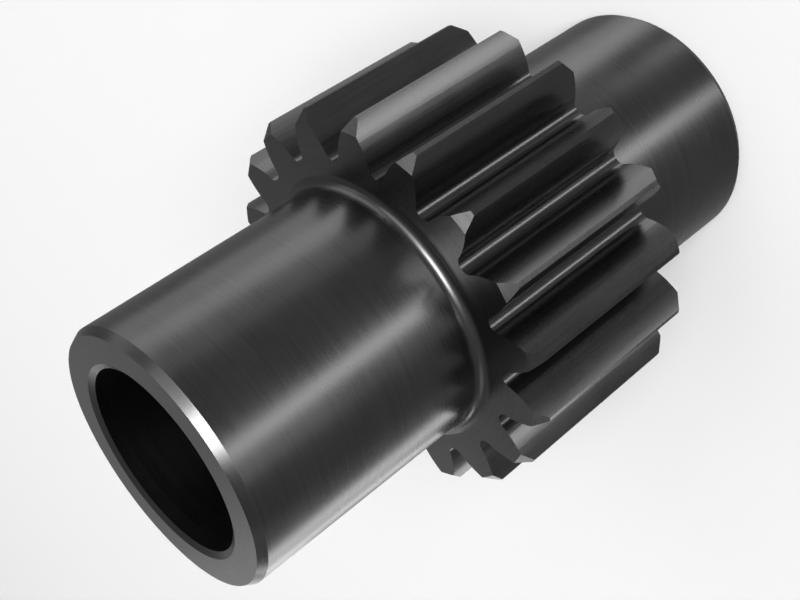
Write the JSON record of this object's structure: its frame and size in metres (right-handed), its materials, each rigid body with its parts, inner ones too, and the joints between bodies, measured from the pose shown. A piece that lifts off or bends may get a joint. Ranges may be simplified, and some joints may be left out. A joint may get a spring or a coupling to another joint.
{
  "type": "pump drive gear",
  "caption": "Spur pinion with a plain round hub on each side, one longer than the other, and a bore right through. It drives an oil pump.",
  "frame": {"origin": "centre of the end face of the short hub, on the bore's axis", "axes": "+Z along the bore, towards the end of the long hub; +X through the middle of a tooth gap"},
  "size_m": [0.0368, 0.0372, 0.061],
  "materials": {
    "steel": "turned and ground, dark, lightly oiled"
  },
  "bodies": {
    "root": {"drive_gear": "steel"}
  },
  "joints": []
}
